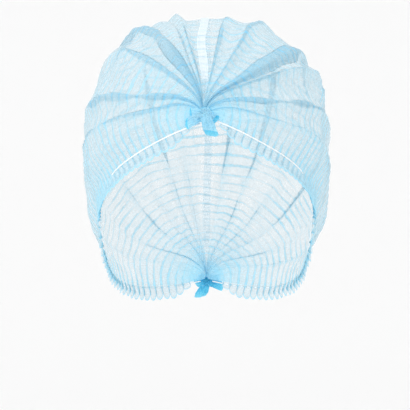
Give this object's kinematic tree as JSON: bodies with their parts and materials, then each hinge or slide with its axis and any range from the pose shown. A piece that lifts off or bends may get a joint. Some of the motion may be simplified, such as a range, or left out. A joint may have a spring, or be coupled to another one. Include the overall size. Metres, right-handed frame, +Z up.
{
  "type": "disposable hairnet",
  "caption": "See-through pleated disposable cap with elastic edges, a frill below them and a gathered tuft at the forehead and at the nape, in its worn shape.",
  "frame": {"origin": "inside face of the crown at its top, where the cap sits on a head", "axes": "+Z up, -Y to the front (forehead), +X to the viewer's right when the cap is seen from the front"},
  "size_m": [0.1852, 0.223, 0.2174],
  "materials": {
    "pleated_web": "thin see-through light blue spunbond nonwoven",
    "frill": "thin light blue spunbond nonwoven, finely pleated",
    "elastic": "white covered elastic thread",
    "tape": "opaque white nonwoven tape",
    "tuft": "many layers of light blue nonwoven pinched and welded together"
  },
  "bodies": {
    "root": {"crown": "pleated_web", "frill_left": "frill", "frill_right": "frill", "elastic_left": "elastic", "elastic_right": "elastic", "centre_tape": "tape", "front_tuft": "tuft", "rear_tuft": "tuft"}
  },
  "joints": []
}
